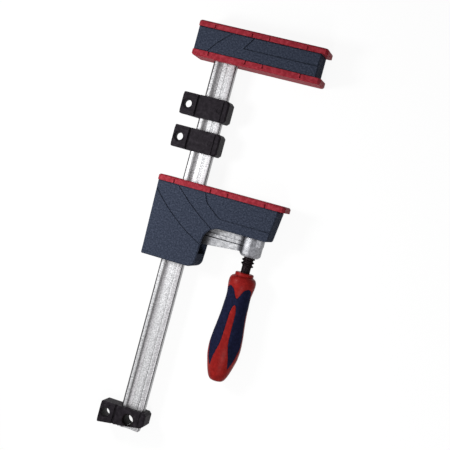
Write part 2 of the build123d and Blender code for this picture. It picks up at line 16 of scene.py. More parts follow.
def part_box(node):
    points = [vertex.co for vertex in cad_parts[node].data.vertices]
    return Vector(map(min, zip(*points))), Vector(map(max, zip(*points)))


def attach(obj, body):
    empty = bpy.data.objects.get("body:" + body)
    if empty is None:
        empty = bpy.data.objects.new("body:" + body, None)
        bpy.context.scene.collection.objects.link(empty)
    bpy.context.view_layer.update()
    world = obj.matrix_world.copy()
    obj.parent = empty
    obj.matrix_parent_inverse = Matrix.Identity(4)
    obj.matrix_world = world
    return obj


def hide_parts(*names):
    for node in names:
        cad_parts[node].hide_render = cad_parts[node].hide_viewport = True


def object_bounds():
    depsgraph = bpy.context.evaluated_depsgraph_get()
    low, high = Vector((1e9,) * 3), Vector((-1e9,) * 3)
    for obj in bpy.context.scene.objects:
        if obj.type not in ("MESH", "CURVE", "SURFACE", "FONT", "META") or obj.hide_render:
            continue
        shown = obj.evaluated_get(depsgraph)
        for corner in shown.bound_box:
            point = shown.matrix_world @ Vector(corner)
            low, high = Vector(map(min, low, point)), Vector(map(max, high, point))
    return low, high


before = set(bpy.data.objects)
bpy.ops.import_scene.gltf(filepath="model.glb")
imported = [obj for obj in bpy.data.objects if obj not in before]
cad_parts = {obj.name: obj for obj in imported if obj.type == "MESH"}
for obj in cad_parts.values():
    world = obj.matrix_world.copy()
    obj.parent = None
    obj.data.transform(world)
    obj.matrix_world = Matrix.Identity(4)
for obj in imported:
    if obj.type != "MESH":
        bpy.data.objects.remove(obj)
cad_low, cad_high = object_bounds()
MM = 0.001
print("pieces loaded:", len(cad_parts))

# %% [markdown]
# ## Camera
#
# The camera stands where the photographer stood: a little more than a metre away, almost
# square to the broad side of the jaws and rolled, so that the bar leans to the left.
# Three angles and a distance say that more plainly than a matrix would. `back` is the way
# from the target to the camera, and the other two axes follow from it.

# %% Camera
CAMERA_YAW = math.radians(13.42)
CAMERA_PITCH = math.radians(2.48)
CAMERA_ROLL = math.radians(15.16)
CAMERA_DISTANCE = 1092.46 * MM
CAMERA_TARGET = Vector((45.72, -168.89, 0)) * MM
CAMERA_LENS = 80.54

back = Vector(
    (
        math.sin(CAMERA_YAW) * math.cos(CAMERA_PITCH),
        math.sin(CAMERA_PITCH),
        math.cos(CAMERA_YAW) * math.cos(CAMERA_PITCH),
    )
)
level = Vector((math.cos(CAMERA_YAW), 0, -math.sin(CAMERA_YAW)))
upright = back.cross(level)
right = math.cos(CAMERA_ROLL) * level + math.sin(CAMERA_ROLL) * upright
up = -math.sin(CAMERA_ROLL) * level + math.cos(CAMERA_ROLL) * upright

camera_data = bpy.data.cameras.new("camera")
camera_data.lens = CAMERA_LENS
camera_data.sensor_width = 36
camera_data.clip_start = 0.01
camera = bpy.data.objects.new("camera", camera_data)
bpy.context.scene.collection.objects.link(camera)
axes = (right, up, back)
for row in range(3):
    for column in range(3):
        camera.matrix_world[row][column] = axes[column][row]
camera.location = CAMERA_TARGET + back * CAMERA_DISTANCE
bpy.context.scene.camera = camera
print("camera at", [round(value, 3) for value in camera.location])

# %% [markdown]
# ## Colours and nodes
#
# Colours are written as they look on a screen, in hex. Blender's shaders work in linear
# light, so one function turns them over. A second function adds a node, gives it its
# settings, and either sets each input or links it, which keeps every material short. All
# patterns are laid out in the object's own coordinates, which no turn of the camera changes.

# %% Helpers for colours and nodes
def colour(hex_code):
    """Turns an sRGB hex code into the linear colour that a shader socket takes."""
    linear = []
    for place in (1, 3, 5):
        value = int(hex_code[place:place + 2], 16) / 255
        linear.append(value / 12.92 if value <= 0.04045 else ((value + 0.055) / 1.055) ** 2.4)
    return (*linear, 1.0)


def add_node(tree, kind, inputs=None, stops=(), **settings):
    """Adds a node with its settings.

    An input is set to a value, or linked where it is given a socket. The stops of a colour
    ramp are pairs of a place from 0 to 1 and a hex code.
    """
    node = tree.nodes.new(kind)
    for name, value in settings.items():
        setattr(node, name, value)
    for name, value in (inputs or {}).items():
        if isinstance(value, bpy.types.NodeSocket):
            tree.links.new(value, node.inputs[name])
        else:
            node.inputs[name].default_value = value
    if stops:
        elements = node.color_ramp.elements
        while len(elements) < len(stops):
            elements.new(0.5)
        for element, (place, code) in zip(elements, stops):
            element.position = place
            element.color = colour(code)
    return node


def new_material(name):
    """An empty node material and its tree."""
    material = bpy.data.materials.new(name)
    material.use_nodes = True
    material.node_tree.nodes.clear()
    return material, material.node_tree


print("white is", colour("#FFFFFF"), "and middle grey is", round(colour("#808080")[0], 3))

# %% [markdown]
# ## Plastics
#
# The jaw covers are injection moulded ABS with a spark-eroded grain: the mould was etched,
# so the surface breaks up the light into fine mottling and has no clear reflections. Two
# noises do that, one for the patches of lighter and darker blue and one for the bump.

# %% Moulded plastics
def moulded_plastic(name, stops, patch_mm, grain_mm, bump_mm, roughness, specular=0.5):
    """A grained moulding: patches of colour, and a fine bump in the surface."""
    material, tree = new_material(name)
    place = add_node(tree, "ShaderNodeTexCoord").outputs["Object"]
    patches = add_node(
        tree,
        "ShaderNodeTexNoise",
        {"Vector": place, "Scale": 1 / (patch_mm * MM), "Detail": 6.0, "Roughness": 0.7},
    )
    shade = add_node(tree, "ShaderNodeValToRGB", {"Fac": patches.outputs["Fac"]}, stops)
    grain = add_node(
        tree,
        "ShaderNodeTexNoise",
        {"Vector": place, "Scale": 1 / (grain_mm * MM), "Detail": 3.0, "Roughness": 0.6},
    )
    bump = add_node(
        tree,
        "ShaderNodeBump",
        {"Height": grain.outputs["Fac"], "Distance": bump_mm * MM, "Strength": 1.0},
    )
    shader = add_node(
        tree,
        "ShaderNodeBsdfPrincipled",
        {
            "Base Color": shade.outputs["Color"],
            "Roughness": roughness,
            "Specular IOR Level": specular,
            "Normal": bump.outputs["Normal"],
        },
    )
    add_node(tree, "ShaderNodeOutputMaterial", {"Surface": shader.outputs["BSDF"]})
    return material


# Spark-eroded ABS: dark blue that looks almost cloudy, because the grain scatters the light
navy_abs = moulded_plastic(
    "spark_eroded_navy_abs",
    ((0.34, "#242A37"), (0.47, "#313745"), (0.53, "#393F4E"), (0.66, "#4B5161")),
    patch_mm=1.7, grain_mm=0.9, bump_mm=0.1, roughness=0.75, specular=0.02,
)
# Polyamide pads: smoother, because glue must not stick to them, and so a little shiny
red_polyamide = moulded_plastic(
    "satin_red_polyamide",
    ((0.36, "#84222C"), (0.5, "#962C37"), (0.64, "#A83C46")),
    patch_mm=3.4, grain_mm=0.8, bump_mm=0.05, roughness=0.55, specular=0.05,
)
# Glass-filled nylon: nearly black, with a faint grey bloom from the fibres
black_nylon = moulded_plastic(
    "glass_filled_black_nylon",
    ((0.36, "#19161A"), (0.5, "#221E23"), (0.66, "#2F2B30")),
    patch_mm=4.0, grain_mm=0.8, bump_mm=0.06, roughness=0.55, specular=0.05,
)
# Plain nylon of the guides on the bar, turned or cut and never grained
plain_nylon = moulded_plastic(
    "turned_nylon_rod",
    ((0.4, "#3A383B"), (0.6, "#4A484B")),
    patch_mm=2.0, grain_mm=0.6, bump_mm=0.03, roughness=0.5, specular=0.25,
)
# Cellulose handle body: polished by the mould and by hands
red_handle_plastic = moulded_plastic(
    "polished_red_handle",
    ((0.36, "#7E1616"), (0.5, "#8B1A18"), (0.64, "#99211E")),
    patch_mm=5.0, grain_mm=1.5, bump_mm=0.03, roughness=0.38, specular=0.08,
)
# Soft elastomer: matt and slightly dusty
navy_elastomer = moulded_plastic(
    "soft_navy_elastomer",
    ((0.36, "#101327"), (0.5, "#151831"), (0.66, "#1D213D")),
    patch_mm=3.0, grain_mm=0.7, bump_mm=0.08, roughness=0.75, specular=0.06,
)
print("plastics made")

# %% [markdown]
# ## Metals
#
# The bar is drawn steel with bright zinc plate. Drawing leaves a rough skin, which the zinc
# follows, so up close it is a field of light and dark specks. The arm is cast, blasted and
# plated in the same way, with a coarser skin. The spindle is black oxide over cut steel.
#
# A tone ramp along X, in millimetres, paints shade on the bar and the arm: dark bands where shadow
# and shade fall. The shader multiplies the specks by it.

# %% Metals
SPECK_LOW, SPECK_HIGH = 0.35, 0.65
GLOSSIER, DULLER = 0.08, 0.1


def plated_metal(
    name, stops, speck_mm, bump_mm, roughness, metallic=1.0, specular=0.5, rim="#FFFFFF",
    painted_shade_along_x=None,
):
    """A metal with specks of lighter and darker plate, and a bump that follows them."""
    material, tree = new_material(name)
    place = add_node(tree, "ShaderNodeTexCoord").outputs["Object"]
    noise = add_node(
        tree,
        "ShaderNodeTexNoise",
        {"Vector": place, "Scale": 1 / (speck_mm * MM), "Detail": 5.0, "Roughness": 0.75},
    )
    specks = noise.outputs["Fac"]
    shade = add_node(tree, "ShaderNodeValToRGB", {"Fac": specks}, stops).outputs["Color"]
    # Painted shade: a ramp of tones along X darkens the specks where shadow and shade fall
    if painted_shade_along_x:
        first, last = painted_shade_along_x[0][0], painted_shade_along_x[-1][0]
        axes = add_node(tree, "ShaderNodeSeparateXYZ", {"Vector": place})
        share = add_node(
            tree,
            "ShaderNodeMapRange",
            {"Value": axes.outputs["X"], "From Min": first * MM, "From Max": last * MM},
        )
        painted_shade_stops = [((x - first) / (last - first), code) for x, code in painted_shade_along_x]
        tone = add_node(tree, "ShaderNodeValToRGB", {"Fac": share.outputs["Result"]}, painted_shade_stops)
        shade = add_node(
            tree,
            "ShaderNodeMix",
            {"Factor": 1.0, "A": shade, "B": tone.outputs["Color"]},
            data_type="RGBA",
            blend_type="MULTIPLY",
        ).outputs[2]
    bump = add_node(
        tree, "ShaderNodeBump", {"Height": specks, "Distance": bump_mm * MM, "Strength": 1.0}
    )
    gloss = add_node(
        tree,
        "ShaderNodeMapRange",
        {
            "Value": specks,
            "From Min": SPECK_LOW,
            "From Max": SPECK_HIGH,
            "To Min": roughness - GLOSSIER,
            "To Max": roughness + DULLER,
        },
    )
    shader = add_node(
        tree,
        "ShaderNodeBsdfPrincipled",
        {
            "Base Color": shade,
            "Metallic": metallic,
            "Specular IOR Level": specular,
            "Specular Tint": colour(rim),
            "Roughness": gloss.outputs["Result"],
            "Normal": bump.outputs["Normal"],
        },
    )
    add_node(tree, "ShaderNodeOutputMaterial", {"Surface": shader.outputs["BSDF"]})
    return material


# %% The five metals
# Bright zinc on drawn steel: specks a millimetre or two long. So rough a skin scatters much
# of its light, and only a part of it acts as a mirror. The tones along X are painted shade:
# dark lines along both edges of the face, a dark slope in the groove that fades to the right
# as if lit from the left, and a slight grey on the right of the face. The first and last
# tones are those of the bar's two narrow sides, which are bright.
bright_zinc = plated_metal(
    "bright_zinc_on_drawn_steel",
    ((0.32, "#747476"), (0.44, "#B0B0B2"), (0.55, "#CECED0"), (0.67, "#E8E8E9")),
    speck_mm=1.5, bump_mm=0.12, roughness=0.42, metallic=0.6,
    painted_shade_along_x=(
        (-13, "#ECECEC"), (-12.9, "#343233"), (-11.5, "#424041"), (-10.8, "#FFFFFF"),
        (-8.6, "#E6E6E6"), (-7.5, "#7A7879"), (-6.0, "#9A9899"), (-3.8, "#D0CECF"),
        (-1.0, "#F4F4F4"), (7.0, "#FFFFFF"), (8.4, "#E4E2E3"), (9.4, "#E2E0E1"),
        (12.0, "#DCDADB"), (12.5, "#7A7879"), (12.9, "#5A5859"), (13, "#ECECEC"),
    ),
)
# Zinc on a blasted casting: coarser and greyer. The tones along X are painted shade: a painted
# shadow of the cover over the arm's end where it sits in the jaw, a dark painted band in the
# crease beside the boss, and a greyer right flank of the boss
zinc_casting = plated_metal(
    "zinc_plated_casting",
    ((0.3, "#76777C"), (0.5, "#B4B5B8"), (0.7, "#E4E4E7")),
    speck_mm=2.6, bump_mm=0.3, roughness=0.5, metallic=0.4,
    painted_shade_along_x=(
        (18, "#202024"), (29.5, "#2C2C31"), (33, "#66666B"), (35.5, "#C8C8CA"), (46, "#E8E8E8"),
        (66, "#F6F6F6"), (68.6, "#8C8C92"), (69.8, "#3C3C43"), (72.6, "#404047"), (74.6, "#C8C8CC"),
        (76, "#FFFFFF"), (79.5, "#F4F4F6"), (82, "#A8A8AC"), (86, "#C0C0C4"), (95, "#E4E4E6"),
    ),
)
# Raw cast iron of the inner cores
cast_iron = plated_metal(
    "raw_cast_iron",
    ((0.3, "#3A3A3D"), (0.6, "#5A5A5E")),
    speck_mm=1.6, bump_mm=0.15, roughness=0.6,
)
# Ground steel of pins and cups
ground_steel = plated_metal(
    "ground_steel",
    ((0.3, "#98999C"), (0.6, "#C4C5C8")),
    speck_mm=0.8, bump_mm=0.01, roughness=0.3,
)
# Black oxide over a cut thread: nearly black, and a dark rim, because oxide hardly mirrors at
# a slant either
black_oxide = plated_metal(
    "black_oxide_steel",
    ((0.3, "#0F0B0D"), (0.5, "#181315"), (0.7, "#332D2F")),
    speck_mm=1.2, bump_mm=0.03, roughness=0.42, metallic=0.7, specular=0.1, rim="#2A2628",
)
print("metals made")

# %% [markdown]
# ## Dressing the CAD pieces
#
# A CAD piece keeps its mesh and takes a material in its slot. Its edges are razor sharp,
# which no real edge is, so two modifiers finish it: Weld joins the loose triangles, and
# Bevel breaks the sharp edges by a fraction of a millimetre. The flat triangles stay as
# they are: merged into one face with a hole in it, they confuse Bevel, which then closes
# the hole. Geometry is only added at edges, so sizes stay the same.

# %% The finish of each piece, and how far its edges are broken in millimetres
WELD_REACH = 0.002
SHARP_EDGE = math.radians(38)
FINISHES = {
    "bar": (bright_zinc, 0.5),
    "fixed_jaw_core": (cast_iron, 0.3),
    "fixed_jaw_pin": (ground_steel, 0.2),
    "fixed_jaw_cover_front": (navy_abs, 0.15),
    "fixed_jaw_cover_rear": (navy_abs, 0.15),
    "fixed_jaw_pad": (red_polyamide, 0.35),
    "fixed_jaw_back_pad": (red_polyamide, 0.35),
    "end_stop": (black_nylon, 0.2),
    "end_stop_pin": (black_oxide, 0.2),
    "upper_support": (black_nylon, 0.2),
    "upper_brake": (black_nylon, 0.25),
    "lower_support": (black_nylon, 0.2),
    "lower_brake": (black_nylon, 0.25),
    "sliding_arm": (zinc_casting, 0.5),
    "arm_grip_pins": (ground_steel, 0.2),
    "arm_spring": (ground_steel, 0.05),
    "moving_jaw_core": (cast_iron, 0.3),
    "upper_bar_guide": (plain_nylon, 0.2),
    "lower_bar_guide": (plain_nylon, 0.2),
    "thrust_cup": (ground_steel, 0.15),
    "moving_jaw_cover_front": (navy_abs, 0.15),
    "moving_jaw_cover_rear": (navy_abs, 0.15),
    "moving_jaw_pad": (red_polyamide, 0.35),
    "spindle": (black_oxide, 0.2),
    "handle_core": (red_handle_plastic, 0.2),
    "handle_grips": (navy_elastomer, 0.2),
    "handle_pin": (ground_steel, 0.2),
}
print("finishes for", len(FINISHES), "pieces")


# %% Dress the pieces
def dress(piece, material, edge_mm):
    """Gives a CAD piece its material and breaks its edges."""
    piece.data.materials.clear()
    piece.data.materials.append(material)
    weld = piece.modifiers.new("join triangles", "WELD")
    weld.merge_threshold = WELD_REACH * MM
    edges = piece.modifiers.new("broken edges", "BEVEL")
    edges.width = edge_mm * MM
    edges.segments = 2
    edges.limit_method = "ANGLE"
    edges.angle_limit = SHARP_EDGE
    edges.use_clamp_overlap = False
    edges.harden_normals = True


for name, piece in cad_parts.items():
    material, edge_mm = FINISHES[name]
    dress(piece, material, edge_mm)
print("dressed:", len(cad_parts))

# %% [markdown]
# ## The handle
#
# The real handle is moulded in two shots: a hard red body, and a soft blue sleeve of four
# leaves that leave four red ridges free. Round forms come from an outline turned about the
# axis, so one smooth curve gives the radius from the collar to the tail. The sleeve needs
# no cutting either. A second curve says how wide a leaf is at each height, and from it we
# know how deep inside a leaf each point lies. Inside, the red surface sinks away and the
# blue one rises with a rounded edge, so the two meet in a fine crease, as in the moulding.

# %% A smooth curve through a few points
def smooth_curve(points):
    """Returns a function that passes smoothly through (place, value) points, without humps."""
    places = [place for place, value in points]
    values = [value for place, value in points]
    slopes = [
        (values[i + 1] - values[i]) / (places[i + 1] - places[i]) for i in range(len(points) - 1)
    ]
    tangents = [slopes[0]]
    for before, after in zip(slopes, slopes[1:]):
        tangents.append(0.0 if before * after <= 0 else 2 * before * after / (before + after))
    tangents.append(slopes[-1])

    def value_at(place):
        if place <= places[0]:
            return values[0] + tangents[0] * (place - places[0])
        if place >= places[-1]:
            return values[-1] + tangents[-1] * (place - places[-1])
        index = max(i for i in range(len(places) - 1) if places[i] <= place)
        width = places[index + 1] - places[index]
        t = (place - places[index]) / width
        return (
            (2 * t**3 - 3 * t**2 + 1) * values[index]
            + (t**3 - 2 * t**2 + t) * width * tangents[index]
            + (3 * t**2 - 2 * t**3) * values[index + 1]
            + (t**3 - t**2) * width * tangents[index + 1]
        )

    return value_at


print("a curve through 0, 1, 4 passes", smooth_curve(((0, 0), (1, 1), (2, 4)))(1.5), "at 1.5")


# %% Outlines of the handle, in millimetres below its top
handle_low, handle_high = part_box("handle_core")
HANDLE_TOP = handle_high.y / MM
HANDLE_AXIS = (handle_low.x + handle_high.x) / 2 / MM
HANDLE_LENGTH = (handle_high.y - handle_low.y) / MM
COLLAR_HEIGHT = 3.8
COLLAR_RADIUS = 10.2
COLLAR_ROUND = 1.3
handle_radius = smooth_curve(
    (
        (COLLAR_HEIGHT, 10.9), (4.8, 12.6), (6.8, 14.1), (9.2, 14.8), (12.2, 14.9), (17.5, 14.3),
        (28.0, 13.1), (37.4, 13.6), (48.3, 14.4), (59.1, 15.5), (70.0, 16.8), (82.3, 17.6),
        (91.7, 17.0), (102.5, 14.6), (113.4, 11.2), (118.0, 8.9), (120.3, 6.6), (121.0, 4.3),
    )
)
leaf_half_angle = smooth_curve(
    (
        (15.2, 0), (16.2, 12), (17.8, 21), (20.4, 27.5), (23.2, 32.5), (25.6, 38), (27.4, 43.6),
        (28.4, 52), (34.6, 52), (35.6, 43.4), (37.0, 38.8), (40.0, 35.4), (45.0, 32.6),
        (59.0, 32.4), (70.0, 32), (77.6, 30.4), (83.0, 26.2), (88.6, 20.6), (94.0, 14.8),
        (98.8, 9.4), (102.6, 4.6), (105.0, 0),
    )
)
print("handle length", round(HANDLE_LENGTH, 1), "mm")

# %% Sizes of the leaves, in millimetres
LEAF_COUNT = 4
LEAF_TURN = math.radians(5)  # the leaves stand a little off the axes
LEAF_FLAT = 16.0  # from the axis to the flat of a leaf at the belly
LEAF_CORNER = math.radians(40)  # the flat reaches no further round than this
LEAF_RISE = 0.04  # how much the flat opens up for each millimetre from the belly
BELLY_PLACE = 84
LEAF_PROUD = 0.2
LEAF_EDGE = 1.1
BODY_EDGE = 0.7
CREASE_DEPTH = 1.3
SLANT_STEP = 0.2
AROUND = 240
CREASE_ANGLE = math.radians(50)
belly_angle = round(2 * leaf_half_angle(BELLY_PLACE), 1)
print(LEAF_COUNT, "leaves, each", belly_angle, "degrees wide at the belly")


# %% Two turned surfaces that share the outline
def leaf_depth(angle, below):
    """How far inside a leaf a point lies along the surface, and its angle from the middle."""
    radius = handle_radius(below)
    pitch = 2 * math.pi / LEAF_COUNT
    from_middle = abs((angle - LEAF_TURN) % pitch - pitch / 2)
    edge = math.radians(leaf_half_angle(below)) * radius
    lower = below + SLANT_STEP
    edge_lower = math.radians(leaf_half_angle(lower)) * handle_radius(lower)
    slant = (edge_lower - edge) / SLANT_STEP
    return (edge - from_middle * radius) / math.sqrt(1 + slant**2), from_middle


def ease(value):
    """Goes from 0 to 1 with a soft start and end."""
    value = min(max(value, 0.0), 1.0)
    return value * value * (3 - 2 * value)


def leaf_top(from_middle, below):
    """Radius of a leaf's surface: the outline, but nearly flat where the handle is thick."""
    flat = LEAF_FLAT / math.cos(min(from_middle, LEAF_CORNER))
    opened = flat + LEAF_RISE * abs(below - BELLY_PLACE)
    return min(handle_radius(below) + LEAF_PROUD, opened)


def hard_surface(angle, below):
    """Radius of the red body: its outline, sunk where a leaf covers it."""
    depth, from_middle = leaf_depth(angle, below)
    outline = handle_radius(below)
    sunk = leaf_top(from_middle, below) - CREASE_DEPTH
    return outline + (sunk - outline) * ease(depth / BODY_EDGE)


def soft_surface(angle, below):
    """Radius of the blue sleeve: proud inside a leaf, hidden under the red body elsewhere."""
    depth, from_middle = leaf_depth(angle, below)
    top = leaf_top(from_middle, below)
    sunk = min(handle_radius(below), top) - CREASE_DEPTH
    rise = min(max(depth / LEAF_EDGE, 0.0), 1.0)
    return sunk + (top - sunk) * math.sqrt(1 - (1 - rise) ** 2)


def body_surface(angle, below):
    """The red body with its collar, whose upper edge is rounded."""
    if below >= COLLAR_HEIGHT:
        return hard_surface(angle, below)
    missing = max(COLLAR_ROUND - below, 0)
    return COLLAR_RADIUS - COLLAR_ROUND + math.sqrt(COLLAR_ROUND**2 - missing**2)


print("radius of the body at the belly:", round(body_surface(0, BELLY_PLACE), 2), "mm")


# %% A closed solid from a radius at each angle and place
def turned_piece(name, surface, places, material, around=AROUND):
    """A closed solid turned about the handle's axis, from a radius at each angle and place."""
    mesh = bpy.data.meshes.new(name)
    rings = []
    for below in places:
        ring = []
        for step in range(around):
            angle = 2 * math.pi * step / around
            radius = surface(angle, below)
            ring.append(
                (
                    (HANDLE_AXIS + radius * math.sin(angle)) * MM,
                    (HANDLE_TOP - below) * MM,
                    radius * math.cos(angle) * MM,
                )
            )
        rings.append(ring)
    points = [point for ring in rings for point in ring]
    faces = []
    for row in range(len(places) - 1):
        for step in range(around):
            first = row * around + step
            second = row * around + (step + 1) % around
            faces.append((first, first + around, second + around, second))
    for row, below in ((0, places[0]), (len(places) - 1, places[-1])):
        centre = len(points)
        points.append((HANDLE_AXIS * MM, (HANDLE_TOP - below) * MM, 0))
        for step in range(around):
            first = row * around + step
            second = row * around + (step + 1) % around
            faces.append((centre, first, second) if row == 0 else (centre, second, first))
    mesh.from_pydata(points, [], faces)
    mesh.materials.append(material)
    mesh.shade_smooth()
    clean = bmesh.new()
    clean.from_mesh(mesh)
    bmesh.ops.recalc_face_normals(clean, faces=clean.faces)
    clean.to_mesh(mesh)
    clean.free()
    mesh.set_sharp_from_angle(angle=CREASE_ANGLE)
    piece = bpy.data.objects.new(name, mesh)
    bpy.context.scene.collection.objects.link(piece)
    return piece


def spread(first, last, gap):
    """Places from first to last, about a gap apart."""
    count = max(1, round((last - first) / gap))
    return [first + (last - first) * step / count for step in range(count + 1)]


print("places from 0 to 1:", spread(0, 1, 0.5))

# %% Turn the body and the sleeve
STEP_UP = 0.01  # the least height of a step, which keeps its edge sharp
FINE, COARSE = 0.2, 0.6
TAIL_PLACE, TAIL_GAP = 117, 0.25
SLEEVE_TOP, SLEEVE_END = 15.5, 107
body_places = spread(0, COLLAR_ROUND, FINE) + [COLLAR_HEIGHT - STEP_UP]
body_places += spread(COLLAR_HEIGHT, TAIL_PLACE, COARSE)
body_places += spread(TAIL_PLACE + FINE, HANDLE_LENGTH, TAIL_GAP)
sleeve_places = spread(SLEEVE_TOP, SLEEVE_END, COARSE)
handle_body = turned_piece("moulded_handle_body", body_surface, body_places, red_handle_plastic)
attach(handle_body, "screw")
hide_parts("handle_core")
handle_sleeve = turned_piece("moulded_handle_sleeve", soft_surface, sleeve_places, navy_elastomer)
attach(handle_sleeve, "screw")
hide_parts("handle_grips")
print("handle faces:", len(handle_body.data.polygons), len(handle_sleeve.data.polygons))

# %% [markdown]
# ## The spindle's thread
#
# A trapezoidal thread is a bar of trapezoidal section wound round a core. Geometry Nodes
# can make exactly that: a spiral curve gives the path, a small quadrilateral gives the
# section, and Curve to Mesh sweeps one along the other. Left alone, the section would roll
# about the path, so the path's normals are first told to stay level: then they point at
# the axis all the way, and the section only has to be turned once, to stand on the core.

# %% Two helpers for Geometry Nodes
def new_tree(name, inputs):
    """A geometry tree with named inputs, and the identifier of each input."""
    tree = bpy.data.node_groups.new(name, "GeometryNodeTree")
    tree.interface.new_socket("Geometry", in_out="INPUT", socket_type="NodeSocketGeometry")
    tree.interface.new_socket("Geometry", in_out="OUTPUT", socket_type="NodeSocketGeometry")
    identifiers = {}
    for label, (kind, value) in inputs.items():
        socket = tree.interface.new_socket(label, in_out="INPUT", socket_type="NodeSocket" + kind)
        if value is not None:
            socket.default_value = value
        identifiers[label] = socket.identifier
    return tree, identifiers


def grown_piece(name, points, tree, identifiers, values):
    """Runs a tree on a mesh of loose points and returns the result as a plain object."""
    seedbed = bpy.data.meshes.new(name)
    seedbed.from_pydata(points, [], [])
    piece = bpy.data.objects.new(name, seedbed)
    bpy.context.scene.collection.objects.link(piece)
    modifier = piece.modifiers.new("grow", "NODES")
    modifier.node_group = tree
    for label, value in values.items():
        modifier[identifiers[label]] = value
    grown = bpy.data.meshes.new_from_object(
        piece.evaluated_get(bpy.context.evaluated_depsgraph_get()),
        preserve_all_data_layers=True,
        depsgraph=bpy.context.evaluated_depsgraph_get(),
    )
    piece.modifiers.clear()
    piece.data = grown
    return piece


print("ready to grow pieces with Geometry Nodes")

# %% Geometry Nodes tree for a thread: the path
QUARTER_TURN = (0, 0, math.radians(90))
PATH_RESOLUTION = 48
thread_tree, thread_inputs = new_tree(
    "wound thread",
    {
        "Turns": ("Float", 8.0),
        "Pitch": ("Float", 0.004),
        "Root Radius": ("Float", 0.0055),
        "Crest Width": ("Float", 0.0012),
        "Root Width": ("Float", 0.0026),
        "Depth": ("Float", 0.0015),
        "Material": ("Material", None),
    },
)
given = add_node(thread_tree, "NodeGroupInput").outputs
length = add_node(
    thread_tree, "ShaderNodeMath", {0: given["Turns"], 1: given["Pitch"]}, operation="MULTIPLY"
)
half_depth = add_node(
    thread_tree, "ShaderNodeMath", {0: given["Depth"], 1: 0.5}, operation="MULTIPLY"
)
path_radius = add_node(
    thread_tree,
    "ShaderNodeMath",
    {0: given["Root Radius"], 1: half_depth.outputs[0]},
    operation="ADD",
)
spiral = add_node(
    thread_tree,
    "GeometryNodeCurveSpiral",
    {
        "Resolution": PATH_RESOLUTION,
        "Rotations": given["Turns"],
        "Start Radius": path_radius.outputs[0],
        "End Radius": path_radius.outputs[0],
        "Height": length.outputs[0],
    },
)
steady = add_node(
    thread_tree, "GeometryNodeSetCurveNormal", {"Curve": spiral.outputs["Curve"]}, mode="Z_UP"
)
print("path of the thread in", len(thread_tree.nodes), "nodes")

# %% Geometry Nodes tree for a thread: the section, swept along the path
section = add_node(
    thread_tree,
    "GeometryNodeCurvePrimitiveQuadrilateral",
    {
        "Height": given["Depth"],
        "Bottom Width": given["Root Width"],
        "Top Width": given["Crest Width"],
        "Offset": 0.0,
    },
    mode="TRAPEZOID",
)
outwards = add_node(
    thread_tree,
    "GeometryNodeTransform",
    {"Geometry": section.outputs["Curve"], "Rotation": QUARTER_TURN},
)
wound = add_node(
    thread_tree,
    "GeometryNodeCurveToMesh",
    {
        "Curve": steady.outputs["Curve"],
        "Profile Curve": outwards.outputs["Geometry"],
        "Fill Caps": True,
    },
)
real = add_node(thread_tree, "GeometryNodeRealizeInstances", {"Geometry": wound.outputs["Mesh"]})
painted = add_node(
    thread_tree,
    "GeometryNodeSetMaterial",
    {"Geometry": real.outputs["Geometry"], "Material": given["Material"]},
)
add_node(thread_tree, "NodeGroupOutput", {"Geometry": painted.outputs["Geometry"]})
print("thread tree with", len(thread_tree.nodes), "nodes")

# %% The rod, and the thread wound on it
THREAD_PITCH = 4.0
THREAD_START = 8.0  # above the handle's top
THREAD_LENGTH = 44.4
CREST_RADIUS = 6.9
ROOT_RADIUS = 5.4
TIP_RADIUS = 4.5
NECK_RADIUS = 5.0
THREAD_BITE = 0.1  # how deep the thread's foot is set into the rod
rod_low, rod_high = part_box("spindle")
ROD_TOP = HANDLE_TOP - rod_high.y / MM
ROD_END = HANDLE_TOP - rod_low.y / MM
thread_top = -THREAD_START - THREAD_LENGTH


def rod_surface(angle, below):
    """The turned rod under the thread: tip, root of the thread, and the neck in the handle."""
    if below < thread_top:
        return TIP_RADIUS
    return ROOT_RADIUS if below < -THREAD_START else NECK_RADIUS


rod_places = [
    ROD_TOP, thread_top - STEP_UP, thread_top, -THREAD_START - STEP_UP, -THREAD_START, ROD_END
]
spindle_rod = turned_piece("turned_spindle_rod", rod_surface, rod_places, black_oxide, around=64)
thread_coil = grown_piece(
    "spindle_thread",
    [(0, 0, 0)],
    thread_tree,
    thread_inputs,
    {
        "Turns": THREAD_LENGTH / THREAD_PITCH,
        "Pitch": THREAD_PITCH * MM,
        "Root Radius": (ROOT_RADIUS - THREAD_BITE) * MM,
        "Depth": (CREST_RADIUS - ROOT_RADIUS + THREAD_BITE) * MM,
        "Material": black_oxide,
    },
)
down_the_rod = Matrix.Rotation(math.radians(90), 4, "X")
to_its_place = Matrix.Translation((HANDLE_AXIS * MM, (HANDLE_TOP - thread_top) * MM, 0))
thread_coil.data.transform(to_its_place @ down_the_rod)
for piece in (spindle_rod, thread_coil):
    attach(piece, "screw")
    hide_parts("spindle")
print("thread faces:", len(thread_coil.data.polygons))

# %% [markdown]
# ## Screws of the covers
#
# The two halves of each cover are held by small cross-head screws from the back, which the
# photograph doesn't show. They are all alike, so one head is made once, with its cross cut
# by a Boolean, and set on points. Nobody leaves every cross at the same angle, so a random
# turn with a fixed seed goes with each.

